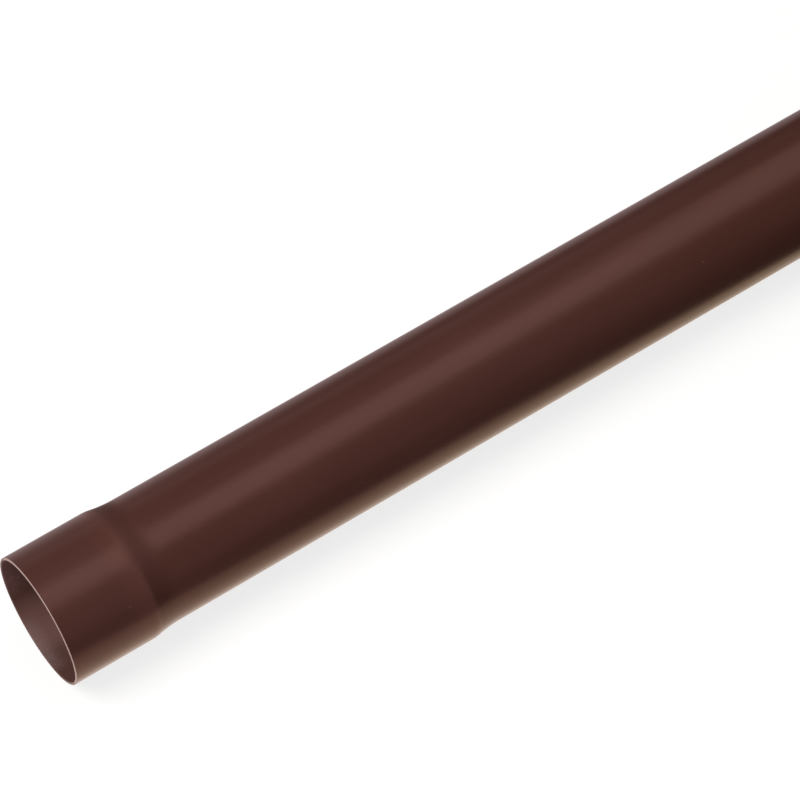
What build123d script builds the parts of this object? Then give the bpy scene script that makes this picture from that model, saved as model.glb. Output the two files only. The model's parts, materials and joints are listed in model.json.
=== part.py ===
"""Round plastic downspout pipe with a belled socket on one end, lying on its side.

The pipe is one piece of extruded stock, sawn square at both ends. One end was then heated and
pushed over a mandrel, which made the socket that the plain end of the next pipe slides into.

Lengths are in millimetres. The floor is at z = 0 and the pipe's axis runs along X, with the
socket's mouth at the -X end. The origin is on the floor, under the middle of the pipe.
"""

import os
from math import sqrt

from build123d import *

# Driving dimensions
pipe_length = 1000.0  # overall, from the socket's mouth to the plain end
barrel_diameter = 80.0  # outside of the plain pipe, which is its nominal size
barrel_wall = 1.8  # wall of the plain pipe
socket_clearance = 0.3  # radial gap round the plain end of another pipe inside the socket
socket_depth = 56.0  # straight stretch of the socket, from the mouth to the shoulder
shoulder_length = 15.0  # stretch over which the socket necks down to the barrel
edge_break = 0.3  # chamfer that deburring leaves on the sawn edges

# Of the shoulder's length, the share that rounds over from the socket. The rest flares into the barrel.
crest_share = 0.12

# Radii of the barrel and the socket. Belling stretches the wall round the mandrel and adds no
# material, so the socket's section keeps the area of the barrel's section and its wall is thinner.
barrel_radius = barrel_diameter / 2
barrel_bore_radius = barrel_radius - barrel_wall
socket_bore_radius = barrel_radius + socket_clearance
socket_radius = sqrt(socket_bore_radius**2 + barrel_radius**2 - barrel_bore_radius**2)

# The wall's half section is drawn upright on the axis, with x measured from the mouth and y outwards.
# The socket is the widest part, so its radius is the height of the axis above the floor.
section_plane = Plane(
    origin=(-pipe_length / 2, 0, socket_radius), x_dir=(1, 0, 0), z_dir=(0, -1, 0)
)
pipe_axis = Axis(section_plane.origin, section_plane.x_dir)


def wall_line(socket_side, barrel_side):
    """One side of the wall, from the mouth to the plain end, given its radius in the socket and the barrel.

    The two straight stretches are joined by a pair of arcs, tangent to the straights and to each other.
    Such arcs meet on the chord of the shoulder. Returns the first and the last point.
    """
    mouth = Vector(0, socket_side)
    shoulder_start = Vector(socket_depth, socket_side)
    shoulder_end = Vector(socket_depth + shoulder_length, barrel_side)
    plain_end = Vector(pipe_length, barrel_side)
    arcs_meet = shoulder_start + (shoulder_end - shoulder_start) * crest_share

    straight = Line(mouth, shoulder_start)
    crest = TangentArc(shoulder_start, arcs_meet, tangent=straight % 1)
    TangentArc(arcs_meet, shoulder_end, tangent=crest % 1)
    Line(shoulder_end, plain_end)
    return mouth, plain_end


with BuildPart() as downspout_pipe:
    with BuildSketch(section_plane):
        with BuildLine():
            mouth_outside, plain_end_outside = wall_line(socket_radius, barrel_radius)
            mouth_inside, plain_end_inside = wall_line(socket_bore_radius, barrel_bore_radius)
            Line(mouth_inside, mouth_outside)
            Line(plain_end_inside, plain_end_outside)
        make_face()
    revolve(axis=pipe_axis)
    sawn_faces = downspout_pipe.faces().filter_by(Plane.YZ)
    chamfer(sawn_faces.edges(), length=edge_break)

downspout_pipe.part.label = "downspout_pipe"
os.makedirs("parts", exist_ok=True)
export_step(downspout_pipe.part, "parts/downspout_pipe.step")

print(f"socket: outside {2 * socket_radius:.2f}, bore {2 * socket_bore_radius:.2f}")
print(f"barrel: outside {barrel_diameter:.2f}, bore {2 * barrel_bore_radius:.2f}")
print(f"volume: {downspout_pipe.part.volume:.0f} mm3")
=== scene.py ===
# %% [markdown]
# # A brown plastic downspout pipe
#
# The object is one length of round rainwater pipe, lying on its side. It is a single extruded tube, and
# one end was heated and pushed over a mandrel, which made the wider socket that the next pipe slides
# into. The measured part already exists as a solid, so this lesson guesses hardly any size: it loads that
# solid as a fixed frame, reads the sizes from it, and spends its effort on the surface, the light and the
# camera.

# %% Load the measured part
import json
import math

import bmesh
import bpy
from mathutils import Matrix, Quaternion, Vector


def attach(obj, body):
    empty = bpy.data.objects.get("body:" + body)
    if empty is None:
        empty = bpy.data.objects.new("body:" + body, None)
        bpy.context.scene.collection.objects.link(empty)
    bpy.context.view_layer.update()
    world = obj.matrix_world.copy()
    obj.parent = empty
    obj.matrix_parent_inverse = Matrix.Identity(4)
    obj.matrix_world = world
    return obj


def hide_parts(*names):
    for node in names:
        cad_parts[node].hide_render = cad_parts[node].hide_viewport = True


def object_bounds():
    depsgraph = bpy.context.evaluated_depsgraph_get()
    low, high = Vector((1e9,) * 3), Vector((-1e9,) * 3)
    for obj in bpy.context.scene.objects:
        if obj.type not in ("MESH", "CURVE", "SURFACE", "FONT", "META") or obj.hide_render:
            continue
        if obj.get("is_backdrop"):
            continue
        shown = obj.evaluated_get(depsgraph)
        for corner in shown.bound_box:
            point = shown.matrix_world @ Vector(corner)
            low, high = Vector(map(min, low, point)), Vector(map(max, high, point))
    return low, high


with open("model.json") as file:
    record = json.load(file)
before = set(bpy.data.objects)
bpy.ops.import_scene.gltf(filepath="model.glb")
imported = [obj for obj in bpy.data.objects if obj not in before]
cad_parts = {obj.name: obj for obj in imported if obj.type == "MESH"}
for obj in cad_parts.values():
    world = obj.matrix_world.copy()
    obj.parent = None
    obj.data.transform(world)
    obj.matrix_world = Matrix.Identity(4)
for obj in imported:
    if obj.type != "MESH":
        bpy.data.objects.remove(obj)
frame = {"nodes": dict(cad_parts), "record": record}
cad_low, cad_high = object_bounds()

print("pieces in the frame:", sorted(frame["nodes"]))
print("box in metres:", [round(high - low, 4) for low, high in zip(cad_low, cad_high)])

# %% [markdown]
# ## Sizes
#
# The frame's record states two fits: the socket, as a bore with its radius and length, and the plain
# barrel, as a pin. Nearly everything else follows. The socket's straight part ends where its bore ends,
# the barrel begins where the pin begins, and the shoulder is what lies between. The mandrel shapes the
# shoulder from within, and the outside follows it more loosely: its bends start a little earlier, end a
# little later and are rounder. Only these bends, the wall and the bevels are typed here. Blender works in
# metres and the fits are in millimetres, so one value converts them.

# %% Read the sizes
MILLIMETRE = 0.001

fits = {mount["name"]: mount for mount in frame["record"]["mounts"]}


def fit_size(name, key):
    """One dimension of a fit, in metres."""
    return fits[name]["dims"][key] * MILLIMETRE


mouth_x = cad_low.x
pipe_length = cad_high.x - cad_low.x
socket_radius = (cad_high.z - cad_low.z) / 2
axis_height = socket_radius
barrel_radius = fit_size("spigot", "r_mm")
socket_bore_radius = fit_size("socket", "r_mm")
shoulder_start = fits["socket"]["pos_m"][0] + fit_size("socket", "length_mm") / 2 - mouth_x
shoulder_end = fits["spigot"]["pos_m"][0] - fit_size("spigot", "length_mm") / 2 - mouth_x
barrel_wall = 1.8 * MILLIMETRE
edge_break = 0.3 * MILLIMETRE
skin_lead = 3.0 * MILLIMETRE
skin_trail = 2.5 * MILLIMETRE
skin_start = shoulder_start - skin_lead
skin_end = shoulder_end + skin_trail
bore_crest_share = 0.12
skin_crest_share = 0.244

print(f"socket: {2 * socket_radius / MILLIMETRE:.2f} mm outside")
print(f"straight part of the socket: {shoulder_start / MILLIMETRE:.1f} mm")
print(f"shoulder: {(shoulder_end - shoulder_start) / MILLIMETRE:.1f} mm long")
print(f"barrel: {2 * barrel_radius / MILLIMETRE:.2f} mm outside")

# %% [markdown]
# ## A helper for node trees
#
# Both the pipe's shape and its materials are node trees. Adding a node by hand takes several lines: make
# it, set its options, then link or fill each input. One helper does all three, so that each later line
# reads as one node. An input is named as it is in Blender's panels, or numbered where two inputs share a
# name.


# %% Add a node
def add_node(tree, kind, options=None, inputs=None):
    """Adds a node, sets its options, and links or fills its inputs."""
    node = tree.nodes.new(kind)
    for name, value in (options or {}).items():
        setattr(node, name, value)
    for name, value in (inputs or {}).items():
        if isinstance(name, int):
            socket = node.inputs[name]
        else:
            named = [socket for socket in node.inputs if socket.name == name]
            socket = next(socket for socket in named if socket.enabled)
        if isinstance(value, bpy.types.NodeSocket):
            tree.links.new(value, socket)
        else:
            socket.default_value = value
    return node


def shown_output(node):
    """The first output that the node's options leave in use."""
    return next(socket for socket in node.outputs if socket.enabled)


print("node helper ready")

# %% [markdown]
# ## The brown plastic
#
# The pipe is rigid plastic with the pigment all the way through, so its colour is nearly even. What tells
# the eye that it was extruded is finer: the die drags faint streaks along the pipe, which only show as a
# slight change of gloss. Noise can draw them, if its coordinates follow the pipe. Here the place around
# the pipe is the direction from the axis, which has no seam and carries each streak on from the barrel
# over the shoulder to the socket. The place along the pipe is squeezed, so the noise is drawn out into
# long streaks.


# %% Coordinates that follow the pipe
def pipe_place(tree):
    """The distance from the mouth, and the direction out from the axis."""
    place = add_node(tree, "ShaderNodeTexCoord").outputs["Object"]
    from_mouth = add_node(
        tree, "ShaderNodeMapping", inputs={"Vector": place, "Location": (-mouth_x, 0, -axis_height)}
    ).outputs[0]
    along = add_node(tree, "ShaderNodeSeparateXYZ", inputs={0: from_mouth}).outputs["X"]
    across = add_node(
        tree, "ShaderNodeVectorMath", {"operation": "MULTIPLY"}, {0: from_mouth, 1: (0, 1, 1)}
    ).outputs[0]
    outward = add_node(tree, "ShaderNodeVectorMath", {"operation": "NORMALIZE"}, {0: across}).outputs[0]
    return along, outward


def pipe_coordinates(tree, stretch):
    """Coordinates with the way along the pipe drawn out and the way around it at the barrel's size."""
    along, outward = pipe_place(tree)
    shortened = add_node(tree, "ShaderNodeMath", {"operation": "DIVIDE"}, {0: along, 1: stretch}).outputs[0]
    run = add_node(tree, "ShaderNodeCombineXYZ", inputs={"X": shortened}).outputs[0]
    return add_node(
        tree,
        "ShaderNodeVectorMath",
        {"operation": "MULTIPLY_ADD"},
        {0: outward, 1: (barrel_radius,) * 3, 2: run},
    ).outputs[0]


def noise(tree, coordinates, period, detail=2.0):
    """Smooth noise, from 0 to 1, whose features are about one period wide."""
    return add_node(
        tree, "ShaderNodeTexNoise", inputs={"Vector": coordinates, "Scale": 1 / period, "Detail": detail}
    ).outputs[0]


NOISE_LOW = 0.3
NOISE_HIGH = 0.7


def spread(tree, value, low, high):
    """A noise value spread over a range, with the rare far ends of the noise cut off."""
    return add_node(
        tree,
        "ShaderNodeMapRange",
        inputs={
            "Value": value,
            "From Min": NOISE_LOW,
            "From Max": NOISE_HIGH,
            "To Min": low,
            "To Max": high,
        },
    ).outputs[0]


print("coordinates follow the pipe")

# %% [markdown]
# ## Mixing a finish
#
# The pipe is one plastic whose colour and gloss change from place to place: paler in some bands, with
# painted light in the bore and painted shade on the outside, and duller where dust lies. Its colour could be
# painted on an image, but that needs the skin unfolded and has a fixed sharpness. Soft steps and mixes of
# amounts need neither, so each finish here is mixed from those.


# %% Helpers for mixing a finish
def new_material(name):
    """An empty material with its output, and the tree to fill."""
    material = bpy.data.materials.new(name)
    material.use_nodes = True
    material.node_tree.nodes.clear()
    output = add_node(material.node_tree, "ShaderNodeOutputMaterial")
    return material, material.node_tree, output


def fade(tree, value, nothing, full):
    """A soft step, 0 where the value is at nothing and 1 where it is at full."""
    return add_node(
        tree,
        "ShaderNodeMapRange",
        {"interpolation_type": "SMOOTHSTEP"},
        {"Value": value, "From Min": nothing, "From Max": full},
    ).outputs[0]


def both_of(tree, first, second):
    """The product of two amounts."""
    return add_node(tree, "ShaderNodeMath", {"operation": "MULTIPLY"}, {0: first, 1: second}).outputs[0]


def tint(tree, amount, first, second):
    """The first colour, with an amount of the second mixed in."""
    colours = {"Factor": amount, "A": first, "B": second}
    return shown_output(add_node(tree, "ShaderNodeMix", {"data_type": "RGBA"}, colours))


def blend(tree, share, first, second):
    """The first amount, with a share of the second mixed in."""
    amounts = {"Factor": share, "A": first, "B": second}
    return shown_output(add_node(tree, "ShaderNodeMix", {"data_type": "FLOAT"}, amounts))


def facing(tree, outward, direction):
    """How nearly a place on the pipe lies in a direction from the axis, 1 where it does."""
    return add_node(
        tree, "ShaderNodeVectorMath", {"operation": "DOT_PRODUCT"}, {0: outward, 1: direction}
    ).outputs["Value"]


def finish_plastic(tree, output, inputs):
    """Adds the plastic's shader, fills its inputs and links it to the material's output."""
    plastic = add_node(tree, "ShaderNodeBsdfPrincipled", inputs=inputs)
    tree.links.new(plastic.outputs[0], output.inputs["Surface"])


print("finish helpers ready")

# %% [markdown]
# ## The outside
#
# Towards the plain end the brown is painted darker and a little warmer. The darkening is painted shade,
# where the lamps' light falls off along the pipe. Slow noise adds the faint clouds of a pigment that never
# mixes quite evenly.

# %% Mix the barrel's brown
DEEP_BROWN = (0.0575, 0.0200, 0.0152, 1)
WARM_BROWN = (0.0640, 0.0228, 0.0177, 1)
FAR_SHADE_BROWN = (0.0535, 0.0168, 0.0115, 1)
CLOUD_STRETCH = 4
CLOUD_PERIOD = 22 * MILLIMETRE
FAR_SHADE_START = 290 * MILLIMETRE
FAR_SHADE_END = 590 * MILLIMETRE
FAR_SHADE_SHARE = 0.9

brown_plastic, tree, output = new_material("satin_brown_plastic")
along, outward = pipe_place(tree)
cloudiness = noise(tree, pipe_coordinates(tree, CLOUD_STRETCH), CLOUD_PERIOD)
even_tone = tint(tree, spread(tree, cloudiness, 0, 1), DEEP_BROWN, WARM_BROWN)
# Painted shade: the brown darkens towards the plain end, where less of the lamps' light reaches.
far_shade = fade(tree, along, FAR_SHADE_START, FAR_SHADE_END)
barrel_tone = tint(tree, both_of(tree, far_shade, FAR_SHADE_SHARE), even_tone, FAR_SHADE_BROWN)
print(f"the brown drifts from {FAR_SHADE_START:.2f} to {FAR_SHADE_END:.2f} m past the mouth")

# %% [markdown]
# ## The bell's colour
#
# Heat changes the plastic where the bell was formed, and the whole bell is a little greyer. It is also
# paler up to the crest of the shoulder. Just past the crest, where the shoulder slopes away from the light,
# it is painted deeper: this is painted shade. On the shoulder's upper side this change of colour is softer.
# Soft steps along the pipe place all of these. Each step is a pair of distances from the crest, in
# millimetres towards the plain end: where it is at nothing, and where it is full.

# %% Tint the bell
BELL_BROWN = (0.0632, 0.0231, 0.0186, 1)
CREST_PALE_BROWN = (0.0770, 0.0276, 0.0220, 1)
SHOULDER_SHADE_BROWN = (0.0475, 0.0153, 0.0112, 1)
BELL_SHARE = 0.8
TOPSIDE_PALE_SHARE = 0.55
CRISP_STEP = (1.9, -1.1)
BLURRED_STEP = (6.5, -3.5)
CREST_PALE_STEP = (-20, -4)
BARREL_STEP = (18, 6)
TOPSIDE_STEP = (0.72, 0.95)
crest_x = skin_start + skin_crest_share * (skin_end - skin_start)


def from_crest(tree, along, step):
    """A soft step between two distances from the crest of the shoulder."""
    nothing, full = step
    return fade(tree, along, crest_x + nothing * MILLIMETRE, crest_x + full * MILLIMETRE)


upward = facing(tree, outward, (0, 0, 1))
topside = fade(tree, upward, *TOPSIDE_STEP)
crisp = from_crest(tree, along, CRISP_STEP)
blurred = from_crest(tree, along, BLURRED_STEP)
belled = blend(tree, topside, crisp, blurred)
# A paler band up to the crest of the shoulder, weaker and softer on the upper side.
stretch = both_of(tree, belled, from_crest(tree, along, CREST_PALE_STEP))
crest_pale = both_of(tree, stretch, blend(tree, topside, 1.0, TOPSIDE_PALE_SHARE))
past_crest = blend(tree, belled, 1.0, 0.0)
# Painted shade: the band just past the crest is darkened, where the shoulder slopes away from the light.
shoulder_shade = both_of(tree, past_crest, from_crest(tree, along, BARREL_STEP))
bell_tone = tint(tree, both_of(tree, belled, BELL_SHARE), barrel_tone, BELL_BROWN)
crest_pale_tone = tint(tree, crest_pale, bell_tone, CREST_PALE_BROWN)
tone = tint(tree, shoulder_shade, crest_pale_tone, SHOULDER_SHADE_BROWN)
print(f"crest of the shoulder: {crest_x / MILLIMETRE:.1f} mm past the mouth")

# %% [markdown]
# ## Specks
#
# Two specks of dust lie on the front. They could be pieces of their own, but they are so small that a spot
# in the colour is enough for each: it needs the speck's place, and the distance from it.

# %% Place the specks
SPECK_BROWN = (0.1150, 0.0560, 0.0430, 1)
SPECK_RADIUS = 0.9 * MILLIMETRE
# For each speck, millimetres past the mouth, and degrees from straight up towards the front
SPECKS = ((43.0, 54.3), (454.0, 44.8))

place = add_node(tree, "ShaderNodeTexCoord").outputs["Object"]
for distance, degrees in SPECKS:
    past_mouth = distance * MILLIMETRE
    turn = math.radians(degrees)
    radius = socket_radius if past_mouth < shoulder_start else barrel_radius
    speck = (mouth_x + past_mouth, -radius * math.sin(turn), axis_height + radius * math.cos(turn))
    away = add_node(
        tree, "ShaderNodeVectorMath", {"operation": "DISTANCE"}, {0: place, 1: speck}
    ).outputs["Value"]
    tone = tint(tree, fade(tree, away, SPECK_RADIUS, 0), tone, SPECK_BROWN)
print("specks:", len(SPECKS))

# %% [markdown]
# ## The gloss
#
# The plastic is satin, and the die's streaks vary its gloss a little. The dust film takes it away on the
# shoulder's upper side, so the bright band along the pipe breaks off there. A shader states gloss as
# roughness, so the streaks and the dust add up in that one value. The tint stands for light that dips just
# under the surface before it comes back.

# %% Set the gloss and finish the plastic
STREAK_STRETCH = 150
STREAK_PERIOD = 6 * MILLIMETRE
SATIN_LOW = 0.28
SATIN_HIGH = 0.32
DUST_STEP = (-8, 2)
DUSTY_SIDE_STEP = (0.35, 0.8)
DUST_DULLNESS = 0.3
PLASTIC_SPECULAR = 0.33
GLOSS_TINT = (1.0, 0.59, 0.55, 1)

die_streaks = noise(tree, pipe_coordinates(tree, STREAK_STRETCH), STREAK_PERIOD, detail=0)
satin = spread(tree, die_streaks, SATIN_LOW, SATIN_HIGH)
shoulder = both_of(tree, from_crest(tree, along, DUST_STEP), from_crest(tree, along, BARREL_STEP))
dusty = both_of(tree, shoulder, fade(tree, upward, *DUSTY_SIDE_STEP))
dullness = add_node(
    tree, "ShaderNodeMath", {"operation": "MULTIPLY_ADD"}, {0: dusty, 1: DUST_DULLNESS, 2: satin}
).outputs[0]
finish_plastic(
    tree,
    output,
    {
        "Base Color": tone,
        "Roughness": dullness,
        "Specular IOR Level": PLASTIC_SPECULAR,
        "Specular Tint": GLOSS_TINT,
    },
)
print("brown plastic:", len(tree.nodes), "nodes")

# %% [markdown]
# ## The bore
#
# A sizing sleeve polishes the outside while the pipe cools, but nothing touches the inside, so the bore
# is duller, with a fine grain. Its brown is paler than the outside's, partly as painted light for the light
# that reaches into the bore. A paler stripe along its floor is painted light, where light through the mouth
# falls, and fades with the turn away from its middle. Turns in the bore are counted from the floor towards
# the back.

# %% Mix the bore's brown
# The bore's browns are paler than the outside's, partly as painted light for light that reaches into the
# bore.
BORE_DEEP = (0.080, 0.0345, 0.0280, 1)
BORE_PALE = (0.094, 0.0415, 0.0345, 1)
LIT_STRIPE_BROWN = (0.141, 0.0655, 0.0570, 1)
LIT_STRIPE_TURN = math.radians(26)
LIT_STRIPE_STEP = (0.85, 1.0)
GRAIN_STRETCH = 2
GRAIN_PERIOD = 1.5 * MILLIMETRE
GRAIN_DETAIL = 4


def from_floor(turn):
    """A direction from the axis, turned from straight down towards the back."""
    return (0, math.sin(turn), -math.cos(turn))


bore_plastic, tree, output = new_material("bore_plastic")
along, outward = pipe_place(tree)
grain = noise(tree, pipe_coordinates(tree, GRAIN_STRETCH), GRAIN_PERIOD, GRAIN_DETAIL)
plain_tone = tint(tree, spread(tree, grain, 0, 1), BORE_DEEP, BORE_PALE)
# Painted light: a paler stripe along the floor, where light through the mouth falls.
lit_stripe = fade(tree, facing(tree, outward, from_floor(LIT_STRIPE_TURN)), *LIT_STRIPE_STEP)
bore_tone = tint(tree, lit_stripe, plain_tone, LIT_STRIPE_BROWN)
print(f"bore stripe: {math.degrees(LIT_STRIPE_TURN):.0f} degrees from the floor")

# %% [markdown]
# ## Pale patches in the bore
#
# A paler patch lies on the floor close to the mouth. Another on the back wall is painted light, where light
# from the floor in front would reach in through the mouth. Each patch is a tint, which fades with the turn
# away from its middle and with the distance from the mouth, and the grain breaks it up.

# %% Paint the pale patches and finish the bore
# A paler patch on the floor by the mouth, fading within its reach.
FLOOR_PATCH = (0.33, 0.24, 0.24, 1)
FLOOR_PATCH_TURN = math.radians(7)
FLOOR_PATCH_REACH = 11 * MILLIMETRE
FLOOR_PATCH_STEP = (0.83, 0.98)
FLOOR_PATCH_FILM = (0.16, 0.30)
# Painted light on the back wall, where light from the floor in front would reach through the mouth.
PAINTED_WALL_LIGHT = (0.30, 0.145, 0.150, 1)
PAINTED_WALL_LIGHT_TURN = math.radians(98)
PAINTED_WALL_LIGHT_REACH = 28 * MILLIMETRE
PAINTED_WALL_LIGHT_STEP = (0.72, 0.98)
PAINTED_WALL_LIGHT_FILM = (0.32, 0.52)
GRAIN_DEPTH = 0.01 * MILLIMETRE
GRAIN_RELIEF = 0.5
BORE_DULLNESS = 0.5

pale_patches = (
    (FLOOR_PATCH, FLOOR_PATCH_TURN, FLOOR_PATCH_REACH, FLOOR_PATCH_STEP, FLOOR_PATCH_FILM),
    (PAINTED_WALL_LIGHT, PAINTED_WALL_LIGHT_TURN, PAINTED_WALL_LIGHT_REACH, PAINTED_WALL_LIGHT_STEP, PAINTED_WALL_LIGHT_FILM),
)
for colour, turn, reach, step, film in pale_patches:
    patch = fade(tree, facing(tree, outward, from_floor(turn)), *step)
    paleness = both_of(tree, patch, fade(tree, along, reach, 0))
    bore_tone = tint(tree, both_of(tree, paleness, spread(tree, grain, *film)), bore_tone, colour)
relief = add_node(
    tree, "ShaderNodeBump", inputs={"Strength": GRAIN_RELIEF, "Distance": GRAIN_DEPTH, "Height": grain}
).outputs[0]
finish_plastic(
    tree,
    output,
    {
        "Base Color": bore_tone,
        "Roughness": BORE_DULLNESS,
        "Specular IOR Level": PLASTIC_SPECULAR,
        "Normal": relief,
    },
)
print("bore plastic:", len(tree.nodes), "nodes,", len(pale_patches), "patches of dust")

# %% [markdown]
# ## The sawn ends
#
# A saw leaves the same plastic rough and paler, because its scratched face scatters the light. It shows
# as the thin pale ring round the mouth. The ring is painted dark towards the floor: this is painted shade,
# where its edge faces down, away from the light from above. So the ring is pale above and fades towards the
# floor. The teeth draw fine parallel lines across the cut, which noise gives when it is drawn out in one
# direction across the pipe.

# %% Mix the sawn plastic
SAWN_DARK = (0.36, 0.250, 0.230, 1)
SAWN_PALE = (0.47, 0.340, 0.315, 1)
RING_SHADE_BROWN = (0.15, 0.092, 0.082, 1)
RING_LIGHT_TURN = math.radians(27)
RING_SHADE_STEP = (-0.2, 0.3)
SAW_LINE_SCALE = (1, 0.05, 1)
SAW_LINE_TILT = (0.4, 0, 0)
SAW_LINE_PERIOD = 0.5 * MILLIMETRE
SAW_LINE_DETAIL = 4
SAW_LINE_DEPTH = 0.05 * MILLIMETRE
SAW_LINE_RELIEF = 0.6
SAWN_DULLNESS = 0.65

sawn_plastic, tree, output = new_material("sawn_plastic")
place = add_node(tree, "ShaderNodeTexCoord").outputs["Object"]
drawn_out = add_node(
    tree,
    "ShaderNodeMapping",
    inputs={"Vector": place, "Scale": SAW_LINE_SCALE, "Rotation": SAW_LINE_TILT},
).outputs[0]
saw_lines = noise(tree, drawn_out, SAW_LINE_PERIOD, SAW_LINE_DETAIL)
scratched = tint(tree, spread(tree, saw_lines, 0, 1), SAWN_DARK, SAWN_PALE)
outward = pipe_place(tree)[1]
# Painted shade: the ring darkens towards the floor, away from the side that faces the light.
ring_lit_side = facing(tree, outward, (0, -math.sin(RING_LIGHT_TURN), math.cos(RING_LIGHT_TURN)))
sawn_tone = tint(tree, fade(tree, ring_lit_side, *RING_SHADE_STEP), RING_SHADE_BROWN, scratched)
relief = add_node(
    tree,
    "ShaderNodeBump",
    inputs={"Strength": SAW_LINE_RELIEF, "Distance": SAW_LINE_DEPTH, "Height": saw_lines},
).outputs[0]
finish_plastic(tree, output, {"Base Color": sawn_tone, "Roughness": SAWN_DULLNESS, "Normal": relief})
print("sawn plastic:", len(tree.nodes), "nodes")

# %% [markdown]
# ## The pipe's node tree
#
# A pipe is a section turned about an axis. It could be spun in mesh code, but Geometry Nodes state the
# rule itself: draw the outline of the wall once, then sweep it round a circle. Each size is a named input
# of the tree, so another pipe of this kind only needs other numbers.

# %% Name the tree's inputs
STRAIGHT_STEP = 12 * MILLIMETRE

pipe_sizes = {
    "Length": pipe_length,
    "Shoulder Start": shoulder_start,
    "Shoulder End": shoulder_end,
    "Socket Radius": socket_radius,
    "Socket Bore Radius": socket_bore_radius,
    "Barrel Radius": barrel_radius,
    "Barrel Bore Radius": barrel_radius - barrel_wall,
    "Edge Break": edge_break,
    "Bore Crest Share": bore_crest_share,
    "Skin Crest Share": skin_crest_share,
    "Skin Start": skin_start,
    "Skin End": skin_end,
    "Straight Step": STRAIGHT_STEP,
}
pipe_counts = {"Sides": 256, "Bend Steps": 20}
pipe_materials = {"Skin": brown_plastic, "Bore": bore_plastic, "Cut": sawn_plastic}

pipe_tree = bpy.data.node_groups.new("turned_pipe", "GeometryNodeTree")
pipe_tree.is_modifier = True
pipe_tree.interface.new_socket("Geometry", in_out="OUTPUT", socket_type="NodeSocketGeometry")
pipe_inputs = {}
for socket_type, values in (
    ("NodeSocketFloat", pipe_sizes),
    ("NodeSocketInt", pipe_counts),
    ("NodeSocketMaterial", pipe_materials),
):
    for name, value in values.items():
        socket = pipe_tree.interface.new_socket(name, in_out="INPUT", socket_type=socket_type)
        pipe_inputs[socket.identifier] = value

size = add_node(pipe_tree, "NodeGroupInput").outputs
print("tree inputs:", ", ".join(socket.name for socket in size if socket.name))

# %% [markdown]
# ## The wall's outline
#
# The outline runs out along the outside, in across the plain end, back along the bore and out across the
# mouth. It has a corner wherever the wall changes: each is a distance from the mouth and a radius. The
# sweep measures a section from the circle that it follows, here the barrel's own, so a corner's radius is
# given less that.


# %% Place the outline's corners
def arithmetic(operation, first, second):
    """The result of one sum in the pipe's tree."""
    return add_node(pipe_tree, "ShaderNodeMath", {"operation": operation}, {0: first, 1: second}).outputs[0]


def corner(distance, radius):
    """A corner of the outline, at a distance from the mouth and a radius from the axis."""
    offset = arithmetic("SUBTRACT", radius, size["Barrel Radius"])
    return add_node(pipe_tree, "ShaderNodeCombineXYZ", inputs={"X": offset, "Y": distance}).outputs[0]


edge = size["Edge Break"]
near_plain_end = arithmetic("SUBTRACT", size["Length"], edge)
outside = [
    corner(edge, size["Socket Radius"]),
    corner(size["Skin Start"], size["Socket Radius"]),
    corner(size["Skin End"], size["Barrel Radius"]),
    corner(near_plain_end, size["Barrel Radius"]),
]
plain_end = [
    corner(size["Length"], arithmetic("SUBTRACT", size["Barrel Radius"], edge)),
    corner(size["Length"], arithmetic("ADD", size["Barrel Bore Radius"], edge)),
]
inside = [
    corner(near_plain_end, size["Barrel Bore Radius"]),
    corner(size["Shoulder End"], size["Barrel Bore Radius"]),
    corner(size["Shoulder Start"], size["Socket Bore Radius"]),
    corner(edge, size["Socket Bore Radius"]),
]
mouth = [
    corner(0, arithmetic("ADD", size["Socket Bore Radius"], edge)),
    corner(0, arithmetic("SUBTRACT", size["Socket Radius"], edge)),
]
print("corners in the outline:", len(outside + plain_end + inside + mouth))

# %% [markdown]
# ## Lines between the corners
#
# Sawn edges and bevels are plain lines. A long straight run is cut into short steps, so that its faces
# stay near square and shade evenly. The hot plastic leaves the socket in a tight bend, the crest, and
# reaches the barrel in a long one, the flare. Each is a quadratic Bezier curve: its middle point is where
# the two straight directions would cross. Two such bends that meet on the shoulder's straight chord have
# the same slope there.


# %% Draw the outline
def cut_line(start, end):
    """A plain line, for a sawn edge or a bevel."""
    ends = {"Start": start, "End": end}
    return add_node(pipe_tree, "GeometryNodeCurvePrimitiveLine", inputs=ends).outputs[0]


def straight_run(start, end):
    """A line in short steps, for a long straight wall."""
    return add_node(
        pipe_tree,
        "GeometryNodeResampleCurve",
        {"mode": "LENGTH"},
        {"Curve": cut_line(start, end), "Length": size["Straight Step"]},
    ).outputs[0]


def part_way(first, second, share):
    """A point part of the way from the first point to the second."""
    points = {"Factor": share, "A": first, "B": second}
    return shown_output(add_node(pipe_tree, "ShaderNodeMix", {"data_type": "VECTOR"}, points))


def level_with(point, other):
    """A point as far along the pipe as the first one, and as far out as the other."""
    along = add_node(pipe_tree, "ShaderNodeSeparateXYZ", inputs={0: point}).outputs["Y"]
    out = add_node(pipe_tree, "ShaderNodeSeparateXYZ", inputs={0: other}).outputs["X"]
    return add_node(pipe_tree, "ShaderNodeCombineXYZ", inputs={"X": out, "Y": along}).outputs[0]


def bend(start, end, straight_end):
    """A curve from start to end, which leaves or reaches one of them along the pipe."""
    middle = level_with(part_way(start, end, 0.5), straight_end)
    return add_node(
        pipe_tree,
        "GeometryNodeCurveQuadraticBezier",
        inputs={"Resolution": size["Bend Steps"], "Start": start, "Middle": middle, "End": end},
    ).outputs[0]


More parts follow.
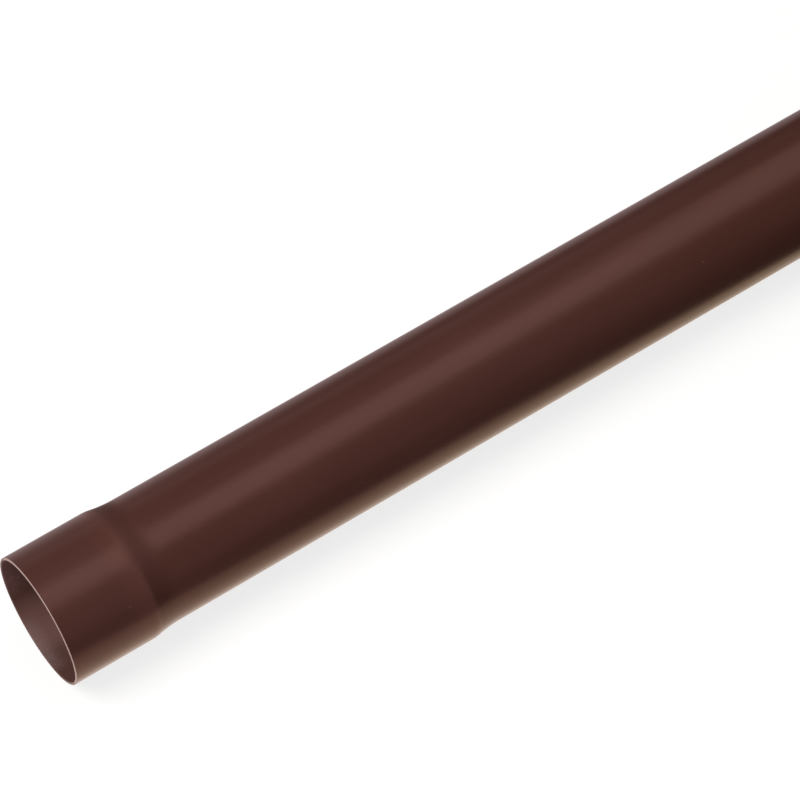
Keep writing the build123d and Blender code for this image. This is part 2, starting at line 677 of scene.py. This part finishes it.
outside_meet = part_way(outside[1], outside[2], size["Skin Crest Share"])
inside_meet = part_way(inside[2], inside[1], size["Bore Crest Share"])
outline = [
    straight_run(outside[0], outside[1]),
    bend(outside[1], outside_meet, outside[1]),
    bend(outside_meet, outside[2], outside[2]),
    straight_run(outside[2], outside[3]),
    cut_line(outside[3], plain_end[0]),
    cut_line(plain_end[0], plain_end[1]),
    cut_line(plain_end[1], inside[0]),
    straight_run(inside[0], inside[1]),
    bend(inside[1], inside_meet, inside[1]),
    bend(inside_meet, inside[2], inside[2]),
    straight_run(inside[2], inside[3]),
    cut_line(inside[3], mouth[0]),
    cut_line(mouth[0], mouth[1]),
    cut_line(mouth[1], outside[0]),
]
print("lines in the outline:", len(outline))

# %% [markdown]
# ## Turning the outline
#
# Curve to Mesh carries the outline round the circle. Each line gives its own strip of faces, so Merge by
# Distance welds the strips into one closed skin. The circle lies flat, so the swept pipe stands on end: a
# turn lays it along X, and a move puts its mouth where the frame has it. Faces shade smoothly into each
# other, apart from the edges where the skin folds sharply: those are marked as crisp, or a bevel would
# smear its light over the wall.

# %% Sweep and weld
WELD_DISTANCE = 0.01 * MILLIMETRE
CRISP_FOLD = math.radians(25)

section = add_node(pipe_tree, "GeometryNodeJoinGeometry")
for line in reversed(outline):
    pipe_tree.links.new(line, section.inputs[0])
circle = add_node(
    pipe_tree,
    "GeometryNodeCurvePrimitiveCircle",
    inputs={"Resolution": size["Sides"], "Radius": size["Barrel Radius"]},
).outputs[0]
strips = add_node(
    pipe_tree, "GeometryNodeCurveToMesh", inputs={"Curve": circle, "Profile Curve": section.outputs[0]}
).outputs[0]
welded = add_node(
    pipe_tree, "GeometryNodeMergeByDistance", inputs={"Geometry": strips, "Distance": WELD_DISTANCE}
).outputs[0]
laid_down = add_node(
    pipe_tree,
    "GeometryNodeTransform",
    inputs={
        "Geometry": welded,
        "Rotation": (0, -math.pi / 2, 0),
        "Translation": (mouth_x, 0, axis_height),
    },
).outputs[0]


def compared(value, operation, limit):
    """Where a value is above or below a limit."""
    return add_node(
        pipe_tree, "FunctionNodeCompare", {"operation": operation}, {"A": value, "B": limit}
    ).outputs[0]


fold = add_node(pipe_tree, "GeometryNodeInputMeshEdgeAngle").outputs["Unsigned Angle"]
crisp_edges = add_node(
    pipe_tree,
    "GeometryNodeSetShadeSmooth",
    {"domain": "EDGE"},
    {
        "Geometry": laid_down,
        "Selection": compared(fold, "GREATER_THAN", CRISP_FOLD),
        "Shade Smooth": False,
    },
).outputs[0]
realized = add_node(pipe_tree, "GeometryNodeRealizeInstances", inputs={"Geometry": crisp_edges}).outputs[0]
print("pipe tree so far:", len(pipe_tree.nodes), "nodes")

# %% [markdown]
# ## Which face wears which finish
#
# The direction of a face says what it is. A face that looks along the pipe, even half that way as a bevel
# does, is sawn. One that looks towards the axis is in the bore, with the bevels there. Everything else is
# the outside. Each rule overrides the one before it.

# %% Choose the finishes
SAWN_STEEPNESS = 0.5
BORE_LOOK = -0.3

face_direction = add_node(pipe_tree, "GeometryNodeInputNormal").outputs[0]
along_share = add_node(pipe_tree, "ShaderNodeSeparateXYZ", inputs={0: face_direction}).outputs["X"]
steepness = arithmetic("ABSOLUTE", along_share, 0)
face_place = add_node(pipe_tree, "GeometryNodeInputPosition").outputs[0]
from_axis = add_node(
    pipe_tree, "ShaderNodeVectorMath", {"operation": "SUBTRACT"}, {0: face_place, 1: (0, 0, axis_height)}
).outputs[0]
across = add_node(
    pipe_tree, "ShaderNodeVectorMath", {"operation": "MULTIPLY"}, {0: from_axis, 1: (0, 1, 1)}
).outputs[0]
outward = add_node(pipe_tree, "ShaderNodeVectorMath", {"operation": "NORMALIZE"}, {0: across}).outputs[0]
look = add_node(
    pipe_tree, "ShaderNodeVectorMath", {"operation": "DOT_PRODUCT"}, {0: face_direction, 1: outward}
).outputs["Value"]

dressed = add_node(
    pipe_tree, "GeometryNodeSetMaterial", inputs={"Geometry": realized, "Material": size["Skin"]}
).outputs[0]
for finish, value, operation, limit in (
    ("Cut", steepness, "GREATER_THAN", SAWN_STEEPNESS),
    ("Bore", look, "LESS_THAN", BORE_LOOK),
):
    dressed = add_node(
        pipe_tree,
        "GeometryNodeSetMaterial",
        inputs={
            "Geometry": dressed,
            "Selection": compared(value, operation, limit),
            "Material": size[finish],
        },
    ).outputs[0]
add_node(pipe_tree, "NodeGroupOutput", inputs={"Geometry": dressed})
print("pipe tree:", len(pipe_tree.nodes), "nodes")

# %% [markdown]
# ## From nodes to a plain mesh
#
# The tree runs as a modifier on an empty mesh. Its inputs are set by their identifiers before Blender
# first evaluates it. The result is then kept as a plain mesh and the modifier removed, because an
# exported model carries meshes, not trees. Counting open edges and measuring the volume shows that the
# skin is closed and faces outwards: inside out, the volume would be negative.

# %% Make the pipe
CUBIC_CENTIMETRE = 1e-6

pipe = bpy.data.objects.new("pipe_skin", bpy.data.meshes.new("pipe_skin"))
bpy.context.scene.collection.objects.link(pipe)
turning = pipe.modifiers.new("turned_pipe", "NODES")
turning.node_group = pipe_tree
for identifier, value in pipe_inputs.items():
    turning[identifier] = value

depsgraph = bpy.context.evaluated_depsgraph_get()
pipe_mesh = bpy.data.meshes.new_from_object(pipe.evaluated_get(depsgraph))
pipe.modifiers.remove(turning)
pipe.data = pipe_mesh
pipe_mesh.name = "pipe_skin"

measured = bmesh.new()
measured.from_mesh(pipe_mesh)
open_edges = sum(not edge.is_manifold for edge in measured.edges)
volume = measured.calc_volume(signed=True)
measured.free()
print(f"pipe: {len(pipe_mesh.polygons)} faces, {open_edges} open edges, {volume / CUBIC_CENTIMETRE:.1f} cm3")
print("materials:", [material.name for material in pipe_mesh.materials])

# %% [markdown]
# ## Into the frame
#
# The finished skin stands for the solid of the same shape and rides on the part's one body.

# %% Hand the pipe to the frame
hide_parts("downspout_pipe")
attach(pipe, "root")
print("pipe rides on root")

# %% [markdown]
# ## The studio
#
# The pipe lies on a wide floor of pale paper, with a low wall of the same paper far round it, so that
# every view has the same plain ground. Part of the paper's whiteness is a glow that the camera and the
# reflections see, but that lights nothing. The ground then reads as white without more light on the pipe,
# and the soft shadow stays.

# %% Roll out the paper
FLOOR_REACH = 30.0
WALL_HEIGHT = 4.2
WALL_SIDES = 48
PAPER_LIGHT = (0.80, 0.80, 0.80, 1)
PAPER_SEEN = (0.22, 0.22, 0.22, 1)
PAPER_GLOW = 0.80

paper, tree, output = new_material("pale_paper")
paper.cycles.emission_sampling = "NONE"
ray = add_node(tree, "ShaderNodeLightPath").outputs
seen_directly = add_node(
    tree, "ShaderNodeMath", {"operation": "MAXIMUM"}, {0: ray["Is Camera Ray"], 1: ray["Is Glossy Ray"]}
).outputs[0]
seen = add_node(
    tree, "ShaderNodeMath", {"operation": "MAXIMUM"}, {0: seen_directly, 1: ray["Is Transmission Ray"]}
).outputs[0]
lit_paper = add_node(tree, "ShaderNodeBsdfDiffuse", inputs={"Color": PAPER_LIGHT}).outputs[0]
dim_paper = add_node(tree, "ShaderNodeBsdfDiffuse", inputs={"Color": PAPER_SEEN}).outputs[0]
glow = add_node(tree, "ShaderNodeEmission", inputs={"Strength": PAPER_GLOW}).outputs[0]
seen_paper = add_node(tree, "ShaderNodeAddShader", inputs={0: dim_paper, 1: glow}).outputs[0]
both = add_node(tree, "ShaderNodeMixShader", inputs={0: seen, 1: lit_paper, 2: seen_paper}).outputs[0]
tree.links.new(both, output.inputs["Surface"])


def studio_piece(name, corners, faces, finish):
    """A piece of the studio, which isn't part of the pipe."""
    mesh = bpy.data.meshes.new(name)
    mesh.from_pydata(corners, [], faces)
    mesh.materials.append(finish)
    piece = bpy.data.objects.new(name, mesh)
    bpy.context.scene.collection.objects.link(piece)
    piece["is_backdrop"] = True
    return piece


turns = [2 * math.pi * side / WALL_SIDES for side in range(WALL_SIDES)]
ring = [(FLOOR_REACH * math.cos(turn), FLOOR_REACH * math.sin(turn)) for turn in turns]
paper_corners = [(x, y, height) for height in (0, WALL_HEIGHT) for x, y in ring]
paper_faces = [list(range(WALL_SIDES))]
for side in range(WALL_SIDES):
    following = (side + 1) % WALL_SIDES
    paper_faces.append([following, side, WALL_SIDES + side, WALL_SIDES + following])
studio_piece("paper", paper_corners, paper_faces, paper)
print(f"paper: floor {2 * FLOOR_REACH} m across, wall {WALL_HEIGHT} m high")

# %% [markdown]
# ## Cards for the gloss
#
# A glossy pipe shows its surroundings, and a photographer arranges them with cards that lie out of the
# picture. Here a card is a flat face that glows and that only reflections see: it takes no part in the
# light or the shadow. Its glow can change between two places along the pipe, as a card's does when a lamp
# stands at one end of it.


# %% Make a card
CARD_NEAR_X = mouth_x - 1.0
CARD_FAR_X = mouth_x + 2.0
pipe_middle_x = mouth_x + pipe_length / 2


def reflection_card(name, corners, near_light, far_light, near_x=mouth_x, far_x=pipe_middle_x):
    """A flat card that only reflections see. Its light changes between two places along the pipe."""
    finish, tree, output = new_material(name)
    finish.cycles.emission_sampling = "NONE"
    place = add_node(tree, "ShaderNodeTexCoord").outputs["Object"]
    along = add_node(tree, "ShaderNodeSeparateXYZ", inputs={0: place}).outputs["X"]
    far = add_node(
        tree, "ShaderNodeMapRange", inputs={"Value": along, "From Min": near_x, "From Max": far_x}
    ).outputs[0]
    light = tint(tree, far, near_light, far_light)
    glow = add_node(tree, "ShaderNodeEmission", inputs={"Color": light}).outputs[0]
    tree.links.new(glow, output.inputs["Surface"])
    card = studio_piece(name, corners, [range(len(corners))], finish)
    card.visible_camera = False
    card.visible_diffuse = False
    card.visible_transmission = False
    card.visible_shadow = False
    print(f"{name}: {len(corners)} corners")


def strip_between(low, high):
    """The corners of a strip along the pipe, between two edges given as a place across and a height."""
    return [(CARD_NEAR_X, *low), (CARD_FAR_X, *low), (CARD_FAR_X, *high), (CARD_NEAR_X, *high)]


print(f"cards run from {CARD_NEAR_X} to {CARD_FAR_X} m")

# %% [markdown]
# ## Cards in front
#
# A cream card on the floor gives the lower edge its warm gleam, with a paler strip under the pipe for the
# very edge. Both glow more towards the mouth. A black board leans back beyond them, so that the front
# flank stays deep brown. The line where it meets the cream card comes closer to the pipe towards the
# plain end, which narrows the gleam there.

# %% Lay the front cards
NEAR_CREAM = (1.57, 1.18, 0.87, 1)
FAR_CREAM = (1.30, 1.00, 0.66, 1)
NEAR_PALE_CREAM = (1.56, 1.28, 1.12, 1)
FAR_PALE_CREAM = (1.33, 1.08, 0.85, 1)
BLACK = (0.03, 0.03, 0.03, 1)
CARD_HEIGHT = 0.5 * MILLIMETRE
BOARD_END_Y = 3.0
BOARD_END_HEIGHT = 0.6
STRIP_Y = -0.046
WIDE_CREAM_Y = -0.80
CREAM_KNEE_X = mouth_x + 0.145
CREAM_KNEE_Y = -0.124
NARROW_CREAM_X = mouth_x + 0.62
NARROW_CREAM_Y = -0.052

meeting_line = [
    (CARD_NEAR_X, WIDE_CREAM_Y, CARD_HEIGHT),
    (CREAM_KNEE_X, CREAM_KNEE_Y, CARD_HEIGHT),
    (NARROW_CREAM_X, NARROW_CREAM_Y, CARD_HEIGHT),
    (CARD_FAR_X, NARROW_CREAM_Y, CARD_HEIGHT),
]
strip_line = [(CARD_FAR_X, STRIP_Y, CARD_HEIGHT), (CARD_NEAR_X, STRIP_Y, CARD_HEIGHT)]
board_line = [(x, -BOARD_END_Y, BOARD_END_HEIGHT) for x in (CARD_NEAR_X, CARD_FAR_X)]
under_pipe = (0, CARD_HEIGHT)

reflection_card("cream_card", meeting_line + strip_line, NEAR_CREAM, FAR_CREAM)
reflection_card(
    "pale_strip", strip_between((STRIP_Y, CARD_HEIGHT), under_pipe), NEAR_PALE_CREAM, FAR_PALE_CREAM
)
reflection_card("front_board", board_line + meeting_line[::-1], BLACK, BLACK)

# %% [markdown]
# ## Cards behind
#
# A clay card on the floor gives the upper edge a dimmer gleam. A grey board leans back beyond it,
# brighter towards the mouth. Two more cards stand on its far edge. The silver one carries the gleam a
# little way down from the upper edge, and darkens towards the plain end. The slate one above it keeps the
# brown near the mouth dark between that gleam and the bright band.

# %% Stand the back cards
CLAY = (0.70, 0.56, 0.56, 1)
NEAR_GREY = (0.42, 0.395, 0.395, 1)
FAR_GREY = (0.04, 0.038, 0.038, 1)
NEAR_SILVER = (0.48, 0.48, 0.48, 1)
FAR_SILVER = (0.05, 0.05, 0.05, 1)
NEAR_SLATE = (0.05, 0.05, 0.05, 1)
FAR_SLATE = (0.25, 0.25, 0.25, 1)
BACK_BOARD_Y = 0.35
SILVER_END_HEIGHT = 1.5
SLATE_END_HEIGHT = 3.6
SILVER_NEAR_X = mouth_x + 1.55
SILVER_FAR_X = mouth_x + 1.85
SLATE_NEAR_X = mouth_x + 1.05
SLATE_FAR_X = mouth_x + 1.50

clay_end = (BACK_BOARD_Y, CARD_HEIGHT)
board_end = (BOARD_END_Y, BOARD_END_HEIGHT)
silver_end = (BOARD_END_Y, SILVER_END_HEIGHT)
slate_end = (BOARD_END_Y, SLATE_END_HEIGHT)

reflection_card("clay_card", strip_between(under_pipe, clay_end), CLAY, CLAY)
reflection_card("back_board", strip_between(clay_end, board_end), NEAR_GREY, FAR_GREY)
silver_strip = strip_between(board_end, silver_end)
reflection_card("silver_card", silver_strip, NEAR_SILVER, FAR_SILVER, SILVER_NEAR_X, SILVER_FAR_X)
slate_strip = strip_between(silver_end, slate_end)
reflection_card("slate_board", slate_strip, NEAR_SLATE, FAR_SLATE, SLATE_NEAR_X, SLATE_FAR_X)

# %% [markdown]
# ## The light
#
# One long softbox hangs straight over the pipe and draws the soft bright band along it. A small one
# behind it widens the band towards the plain end. A third light stands off the mouth's end. It lights the
# brown and the sawn ring, but the barrel can't mirror it: seen from this end, a barrel mirrors only what
# lies further along, towards its other end.


# %% Hang the lights
def softbox(name, place, target, width, length, turn, power, colour):
    """A rectangular area light at a place, aimed at a target, with its length turned from the pipe's."""
    data = bpy.data.lights.new(name, "AREA")
    data.shape = "RECTANGLE"
    data.size = length
    data.size_y = width
    data.energy = power
    data.color = colour
    light = bpy.data.objects.new(name, data)
    light.location = place
    aim = (Vector(target) - Vector(place)).to_track_quat("-Z", "Y")
    light.rotation_euler = (aim @ Quaternion((0, 0, 1), turn)).to_euler()
    bpy.context.scene.collection.objects.link(light)
    print(f"{name}: {length} x {width} m, {power} W")


softbox(
    "overhead",
    place=(0.25, 0.02, 1.35),
    target=(0.25, 0.02, 0.0),
    width=0.85,
    length=1.35,
    turn=math.radians(18),
    power=6.8,
    colour=(1.0, 0.96, 0.93),
)
softbox(
    "far_edge",
    place=(0.85, 0.80, 1.35),
    target=(0.85, 0.80, 0.0),
    width=0.5,
    length=0.7,
    turn=0,
    power=1.9,
    colour=(1.0, 0.92, 0.80),
)
softbox(
    "mouth_fill",
    place=(-1.25, 0.15, 1.35),
    target=(-0.45, 0.0, 0.04),
    width=0.8,
    length=0.8,
    turn=0,
    power=21.5,
    colour=(1.0, 0.97, 0.94),
)

# %% [markdown]
# ## The fill
#
# In a white studio some light comes back from every wall, so no shadow is black. White walls all round would
# do that here too, but a plain world is simpler and even.

# %% Fill the shadows
WORLD_WHITE = (1, 1, 1, 1)
WORLD_FILL = 0.25

world = bpy.data.worlds.new("studio")
bpy.context.scene.world = world
world.use_nodes = True
tree = world.node_tree
tree.nodes.clear()
background = add_node(
    tree, "ShaderNodeBackground", inputs={"Color": WORLD_WHITE, "Strength": WORLD_FILL}
).outputs[0]
add_node(tree, "ShaderNodeOutputWorld", inputs={"Surface": background})
print("world fill:", WORLD_FILL)

# %% [markdown]
# ## The camera
#
# The camera stands off the mouth's end and looks down on the pipe from a distance, through a long lens,
# so that its sides run almost parallel. It looks at a point near the axis, a quarter of the way along the
# pipe.

# %% Place the camera
CAMERA_AZIMUTH = math.radians(-34.230)
CAMERA_ELEVATION = math.radians(57.470)
CAMERA_DISTANCE = 2.281
CAMERA_LENS = 171.86
LOOK_PAST_MOUTH = 0.2576
LOOK_Y = 0.0080

look_at = Vector((mouth_x + LOOK_PAST_MOUTH, LOOK_Y, axis_height))
towards_camera = Vector(
    (
        math.sin(CAMERA_AZIMUTH) * math.cos(CAMERA_ELEVATION),
        -math.cos(CAMERA_AZIMUTH) * math.cos(CAMERA_ELEVATION),
        math.sin(CAMERA_ELEVATION),
    )
)
camera_data = bpy.data.cameras.new("camera")
camera_data.lens = CAMERA_LENS
camera = bpy.data.objects.new("camera", camera_data)
camera.location = look_at + CAMERA_DISTANCE * towards_camera
camera.rotation_euler = (-towards_camera).to_track_quat("-Z", "Y").to_euler()
bpy.context.scene.collection.objects.link(camera)
bpy.context.scene.camera = camera
bpy.context.scene.view_settings.view_transform = "Standard"
print("camera at", [round(value, 3) for value in camera.location])

# %% [markdown]
# ## Finish
#
# The last cell notes how far the solid's box and the dressed pipe's box differ.

# %% Note the sizes
pipe_low, pipe_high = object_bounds()
difference = max((pipe_low - cad_low).length, (pipe_high - cad_high).length)
print(f"boxes differ by {difference / MILLIMETRE:.3f} mm")
